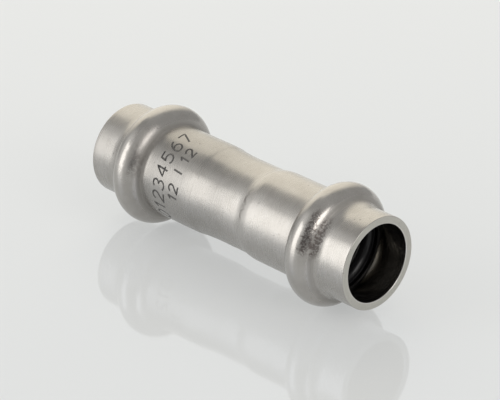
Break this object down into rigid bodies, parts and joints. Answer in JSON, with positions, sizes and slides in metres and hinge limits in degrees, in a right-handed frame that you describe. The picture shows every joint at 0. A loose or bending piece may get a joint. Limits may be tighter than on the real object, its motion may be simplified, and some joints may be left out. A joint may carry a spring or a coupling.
{
  "type": "press fit coupling",
  "caption": "Straight press fit pipe coupling: a stainless sleeve with a rolled bead and rubber seal ring near each open end, and a narrower neck in the middle as pipe stop.",
  "frame": {"origin": "centre of the lower end face, on the bore's axis", "axes": "+Z along the bore, from the lower mouth to the upper mouth; round about Z, so X and Y are free"},
  "size_m": [0.0196, 0.0196, 0.0552],
  "materials": {
    "stainless_steel": "satin, with fine brush marks round the tube",
    "seal_rubber": "smooth moulded black, lightly lubricated"
  },
  "bodies": {
    "root": {"coupling_body": "stainless_steel", "seal_ring_lower": "seal_rubber", "seal_ring_upper": "seal_rubber"}
  },
  "joints": []
}
